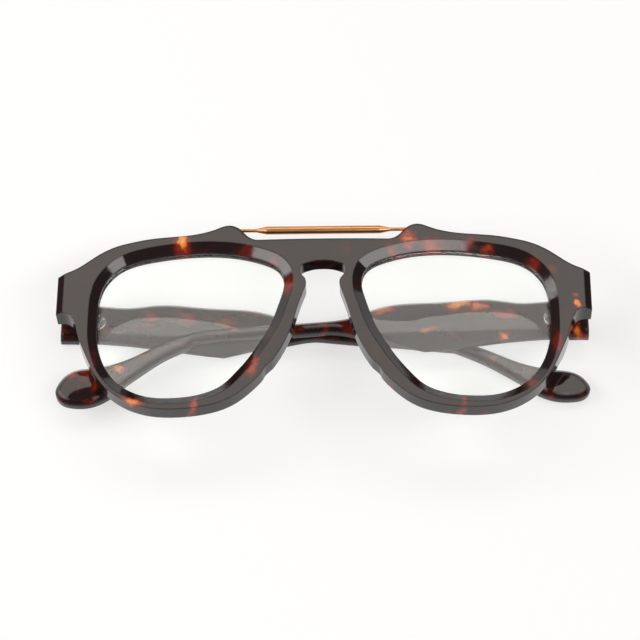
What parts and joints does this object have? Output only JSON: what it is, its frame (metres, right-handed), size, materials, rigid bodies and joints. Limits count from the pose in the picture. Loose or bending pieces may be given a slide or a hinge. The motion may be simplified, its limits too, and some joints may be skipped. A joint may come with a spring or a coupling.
{
  "type": "eyeglasses",
  "caption": "Tortoiseshell acetate eyeglasses with aviator shaped clear lenses, a keyhole bridge, a copper second bridge bar and folding temples with fat drop tips.",
  "frame": {"origin": "middle of the folded glasses' footprint, on the surface that they lie on", "axes": "+X to the wearer's left, +Y up the front, +Z out of the front's face, away from the surface; the glasses lie folded, face up, on the wearer's right temple"},
  "size_m": [0.1484, 0.0578, 0.0251],
  "materials": {
    "front_acetate": "polished dark tortoiseshell acetate, near black with red and amber patches",
    "temple_acetate": "polished dark tortoiseshell acetate, near black with red and amber patches",
    "pad_acetate": "polished dark tortoiseshell acetate",
    "copper_bar": "satin copper coloured metal",
    "hinge_metal": "plain nickel silver",
    "core_metal": "plain wire inside the acetate",
    "lens": "clear polished lens, no tint"
  },
  "bodies": {
    "front": {"front_frame": "front_acetate", "top_bar": "copper_bar", "lens_right": "lens", "nose_pad_right": "pad_acetate", "bar_screw_right": "hinge_metal", "hinge_front_right": "hinge_metal", "hinge_screw_right": "hinge_metal", "lens_left": "lens", "nose_pad_left": "pad_acetate", "bar_screw_left": "hinge_metal", "hinge_front_left": "hinge_metal", "hinge_screw_left": "hinge_metal"},
    "temple_right": {"temple_right": "temple_acetate", "hinge_temple_right": "hinge_metal", "core_wire_right": "core_metal"},
    "temple_left": {"temple_left": "temple_acetate", "hinge_temple_left": "hinge_metal", "core_wire_left": "core_metal"}
  },
  "joints": [
    {"name": "temple_right_fold", "type": "hinge", "parent": "front", "child": "temple_right", "pos_m": [-0.06877, 0.008, 0.00515], "axis": [0, 1, 0], "range_deg": [0, 88.29]},
    {"name": "temple_left_fold", "type": "hinge", "parent": "front", "child": "temple_left", "pos_m": [0.06877, 0.008, 0.00925], "axis": [0, -1, 0], "range_deg": [0, 91.71]}
  ]
}
